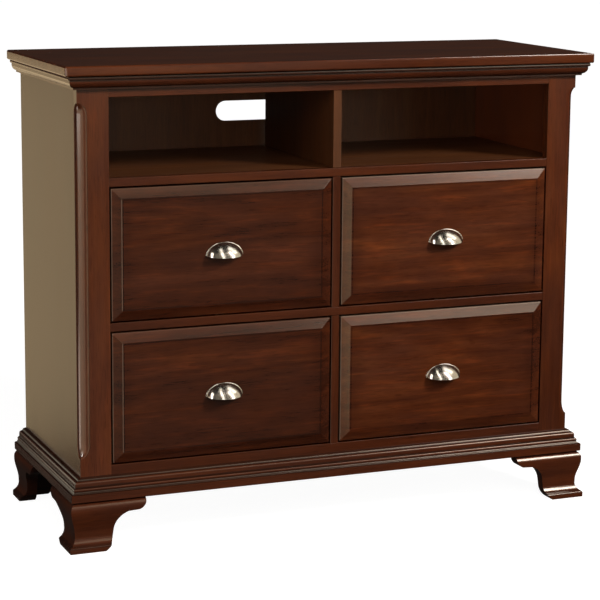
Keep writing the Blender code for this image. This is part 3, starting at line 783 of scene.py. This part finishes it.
dome_tree = Tree("white_backdrop")
dome_tree.shader.inputs["Base Color"].default_value = (0.0, 0.0, 0.0, 1.0)
dome_tree.shader.inputs["Specular IOR Level"].default_value = 0.0
dome_tree.shader.inputs["Emission Color"].default_value = (1.0, 1.0, 1.0, 1.0)
dome_tree.shader.inputs["Emission Strength"].default_value = 1.1
bm = bmesh.new()
bmesh.ops.create_uvsphere(bm, u_segments=48, v_segments=24, radius=30.0)
dome_mesh = bpy.data.meshes.new("backdrop")
bm.to_mesh(dome_mesh)
bm.free()
dome = bpy.data.objects.new("backdrop", dome_mesh)
dome_mesh.materials.append(dome_tree.material)
for stage in (floor, dome):
    scene.collection.objects.link(stage)
    stage.visible_glossy = False
    stage.visible_diffuse = False
    stage.visible_transmission = False
    stage.visible_shadow = False

# ------------------------------------------------------------------ light
world = bpy.data.worlds.new("studio")
scene.world = world
world.use_nodes = True
background = world.node_tree.nodes["Background"]
background.inputs["Color"].default_value = (1.0, 0.90, 0.80, 1.0)
background.inputs["Strength"].default_value = 0.020


def lamp(name, place, target, width, height, radiance, colour=(1, 1, 1), glossy=True, diffuse=True, on=None):
    """A rectangular soft light of this radiance, aimed at a point. on is the collection
    of the objects that it reaches."""
    data = bpy.data.lights.new(name, "AREA")
    data.shape = "RECTANGLE"
    data.size, data.size_y = width, height
    data.energy = radiance * math.pi * width * height
    data.color = colour
    obj = bpy.data.objects.new(name, data)
    scene.collection.objects.link(obj)
    obj.location = place
    aim = Vector(target) - Vector(place)
    obj.rotation_euler = aim.to_track_quat("-Z", "Y").to_euler()
    obj.visible_camera = False
    obj.visible_glossy = glossy
    obj.visible_diffuse = diffuse
    obj.light_linking.receiver_collection = on
    return obj


def group(name, objects, state="INCLUDE"):
    made = bpy.data.collections.new(name)
    for obj in objects:
        made.objects.link(obj)
    for member in made.collection_objects:
        member.light_linking.link_state = state
    return made


metal = group("metal", pulls)
wood = group("wood", [*pulls, nodes["foot_rear_left"]], "EXCLUDE")
faces = group("faces", [*pulls, nodes["foot_rear_left"], nodes["top_panel"]], "EXCLUDE")
# The bright floor is mirrored by the sides of the case and not by its feet.
beside = group(
    "case_side",
    [
        nodes[node]
        for node in (
            "top_panel", "cornice_left", "side_panel_left", "front_post_left", "side_panel_right",
            "cornice_right", "front_post_right", "back_panel",
        )
    ],
)
overhang = group("overhang", [nodes["top_panel"], nodes["cornice_left"], nodes["cornice_right"]])
posts = group("posts", [nodes["front_post_left"], nodes["front_post_right"]])
bays = group("bays", [nodes[node] for node in ("back_panel", "media_shelf", "media_divider", "side_panel_right")])
behind = group(
    "behind",
    [nodes[node] for node in ("back_panel", "base_rear_rail", "foot_rear_left", "foot_rear_right")] + [back_screws],
)
rear_edges = group(
    "rear_edges",
    [nodes[f"{node}_{side}"] for node in ("side_panel", "cornice", "base_moulding") for side in ("left", "right")]
    + [nodes["top_panel"]],
)
top = group("top", [nodes["top_panel"]])
bay_side = group("bay_side", [nodes["side_panel_right"]])
glints = group("glints", [nodes["foot_front_left"], nodes["foot_front_right"]])
base_glints = group("base_glints", [nodes["base_moulding_front"], nodes["base_moulding_right"]])
fixings = group("fixings", [back_screws])
under_top = group("under_top", [nodes["top_panel"], nodes["cornice_left"]])
right_end = group("right_end", [nodes[node] for node in ("side_panel_right", "cornice_right", "base_moulding_right")])
base = group("base", [nodes["base_moulding_left"], nodes["base_moulding_right"]])
near_floor = group("near_floor", [nodes[node] for node in ("base_moulding_front", "base_moulding_left", "foot_front_left")])


# Light that models the shape.
lamp("key", (2.5, -2.9, 3.0), (0.0, -0.2, 0.5), 1.0, 1.0, 55.0, (1.0, 0.96, 0.90), glossy=False)
lamp("fill", (-0.8, -4.6, 3.3), (0.0, -0.2, 0.5), 2.6, 2.2, 4.4, (1.0, 0.95, 0.89), glossy=False)
lamp("low_fill", (-0.3, -5.4, 1.15), (0.0, 0.2, 0.8), 1.6, 1.2, 3.6, (1.0, 0.95, 0.89), glossy=False)
lamp("side", (-3.6, -0.8, 1.6), (-0.5, 0.0, 0.5), 2.0, 2.0, 2.6, (1.0, 0.93, 0.84), glossy=False)
lamp("bay_fill", (-1.6, -4.2, 1.0), (0.3, 0.2, 0.8), 1.2, 0.9, 3.0, (1.0, 0.78, 0.50), glossy=False, on=bays)
lamp("bay_side_fill", (-1.2, -3.0, 0.95), (0.5, 0.0, 0.83), 0.8, 0.6, 30.0, (1.0, 0.86, 0.70), glossy=False, on=bay_side)
lamp("under_top_fill", (-2.6, -0.3, -0.6), (-0.58, 0.0, 0.94), 1.2, 1.0, 5.0, (1.0, 0.84, 0.60), glossy=False, on=under_top)
lamp("rear_edge_fill", (0.0, 4.4, 2.2), (0.0, 0.2, 0.5), 1.0, 2.2, 10.0, (1.0, 0.95, 0.89), glossy=False, on=rear_edges)
lamp("back_fill", (-1.6, 4.4, 2.4), (0.0, 0.2, 0.5), 2.6, 2.2, 7.0, (1.0, 0.95, 0.89), glossy=False, on=behind)
lamp("right_fill", (4.2, 0.6, 1.8), (0.5, 0.0, 0.5), 2.2, 2.0, 3.0, (1.0, 0.94, 0.87), on=right_end)
WARM = (1.0, 0.90, 0.70)
TAN = (1.0, 0.74, 0.49)
WHITE = (1.0, 0.94, 0.87)


def card(name, place, target, width, height, radiance, colour, on=wood):
    return lamp(name, place, target, width, height, radiance, colour, diffuse=False, on=on)


# Surfaces that the lacquer mirrors.
card("key_highlight", (2.6, -3.1, 2.75), (0.2, -0.2, 0.5), 1.1, 0.9, 11.0, (1.0, 0.88, 0.78), on=faces)
card("key_glint", (2.7, -3.0, 2.95), (0.2, -0.2, 0.3), 1.3, 1.7, 25.0, (1.0, 0.86, 0.72), on=glints)
card("base_glint", (2.7, -3.0, 2.95), (0.2, -0.2, 0.3), 1.3, 1.7, 12.0, (1.0, 0.80, 0.60), on=base_glints)
card("top_arris_box", (1.9, -0.45, 3.0), (0.5, -0.2, 0.96), 1.2, 0.9, 26.0, WHITE, on=top)
card("slab_card", (2.40, -3.2, 1.65), (2.40, 0.0, 1.65), 2.2, 1.1, 0.9, WARM, on=top)
card("fixing_card", (-1.6, 4.4, 2.4), (0.0, 0.2, 0.5), 2.6, 2.2, 3.0, WHITE, on=fixings)
card("right_card", (2.40, -3.2, 1.65), (2.40, 0.0, 1.65), 2.2, 1.1, 1.45, WARM, on=faces)
card("right_card_mid", (2.55, -3.25, 1.65), (2.55, 0.0, 1.65), 1.6, 1.1, 0.65, WARM, on=faces)
card("right_card_end", (2.85, -3.3, 1.65), (2.85, 0.0, 1.65), 1.6, 1.1, 0.45, WARM, on=faces)
card("right_card_low", (2.40, -3.35, 1.25), (2.40, 0.0, 1.25), 2.2, 0.35, 4.0, WARM, on=faces)
card("strip", (-0.50, -4.2, 0.5), (-0.3, -0.2, 0.5), 0.34, 2.8, 2.4, (1.0, 0.82, 0.50), on=faces)
card("front_dim", (-0.1, -3.6, 0.65), (-0.1, 0.0, 0.65), 3.0, 3.3, 0.09, WARM)
card("front_mid", (0.55, -3.65, 1.40), (0.55, 0.0, 1.40), 1.7, 1.7, 0.32, WARM)
card("front_high", (0.40, -3.2, 2.95), (0.40, 0.0, 0.6), 2.2, 1.4, 1.3, (1.0, 0.86, 0.58), on=faces)
card("left_dim", (-1.35, -4.3, 0.2), (-0.4, 0.0, 0.5), 0.9, 2.4, 0.20, WARM)
card("left_box", (-2.95, -1.10, 1.75), (-0.5, -0.2, 0.4), 1.0, 1.7, 26.0, WHITE, on=posts)
card("left_card", (-3.6, -0.9, -0.05), (-0.5, 0.0, -0.05), 3.4, 1.9, 1.9, TAN)
card("left_mid_box", (-3.5, -0.2, 0.62), (-0.5, -0.2, 0.62), 2.6, 0.25, 4.5, WHITE)
card("left_low_card", (-3.4, 0.9, -0.80), (-0.5, -0.2, -0.8), 1.4, 1.1, 4.0, (1.0, 0.80, 0.68))
card("left_low_box", (-3.3, -1.5, -0.70), (-0.5, -0.2, -0.7), 0.7, 0.5, 14.0, WHITE, on=near_floor)
card("front_left_card", (-2.95, -3.5, -0.1), (-0.5, 0.0, -0.1), 1.6, 2.2, 1.5, TAN)
card("rear_left_card", (-6.1, 20.0, -2.85), (-0.55, 0.0, 0.5), 6.0, 5.1, 0.84, (1.0, 0.755, 0.43), on=beside)
card("left_floor", (-0.8, 2.6, 0.004), (-0.8, 2.6, 1.0), 3.4, 4.4, 0.75, (1.0, 0.76, 0.45), on=overhang)
card("left_wall", (-3.2, 1.6, 0.6), (-0.5, 0.0, 0.1), 5.0, 3.4, 1.1, (1.0, 0.88, 0.66), on=base)
# Surfaces that the metal mirrors.
card("metal_left", (-3.4, -1.2, 1.9), (0.0, -0.2, 0.5), 0.9, 3.4, 6.0, WHITE, on=metal)
card("metal_front", (-0.15, -4.2, 3.0), (-0.15, 0.0, 1.0), 0.34, 4.6, 4.6, WHITE, on=metal)
card("metal_right", (2.7, -3.2, 2.9), (0.0, -0.2, 0.5), 0.9, 4.6, 5.0, WHITE, on=metal)
card("metal_over", (-0.28, -2.4, 4.4), (-0.1, -0.23, 0.5), 0.34, 2.8, 4.0, WHITE, on=metal)
card("metal_high_right", (3.6, -1.5, 5.4), (0.0, -0.2, 0.5), 1.6, 3.2, 2.3, WHITE, on=metal)
card("metal_far_right", (3.6, -1.2, 2.2), (0.0, -0.2, 1.2), 3.0, 4.2, 0.7, WARM, on=metal)
card("metal_low", (1.1, -3.6, -0.4), (0.0, -0.2, 0.0), 3.4, 1.6, 0.30, WARM, on=metal)
card("metal_dim", (-0.2, -3.9, 2.5), (-0.2, 0.0, 2.0), 7.0, 7.0, 0.14, WARM, on=metal)

# ------------------------------------------------------------------ camera
camera_data = bpy.data.cameras.new("camera")
camera_data.sensor_width = 36.0
camera_data.lens = 125.42
camera_data.shift_y = -0.06
camera_data.clip_end = 400.0
camera = bpy.data.objects.new("camera", camera_data)
scene.collection.objects.link(camera)
turn = (
    Matrix.Rotation(math.radians(-22.286), 4, "Z")
    @ Matrix.Rotation(math.radians(90.0 - 10.158), 4, "X")
    @ Matrix.Rotation(math.radians(0.458), 4, "Z")
)
camera.matrix_world = Matrix.Translation((-1.6751, -4.0856, 1.3063)) @ turn
scene.camera = camera

scene.view_settings.view_transform = "Standard"
scene.view_settings.look = "None"

bpy.context.view_layer.update()
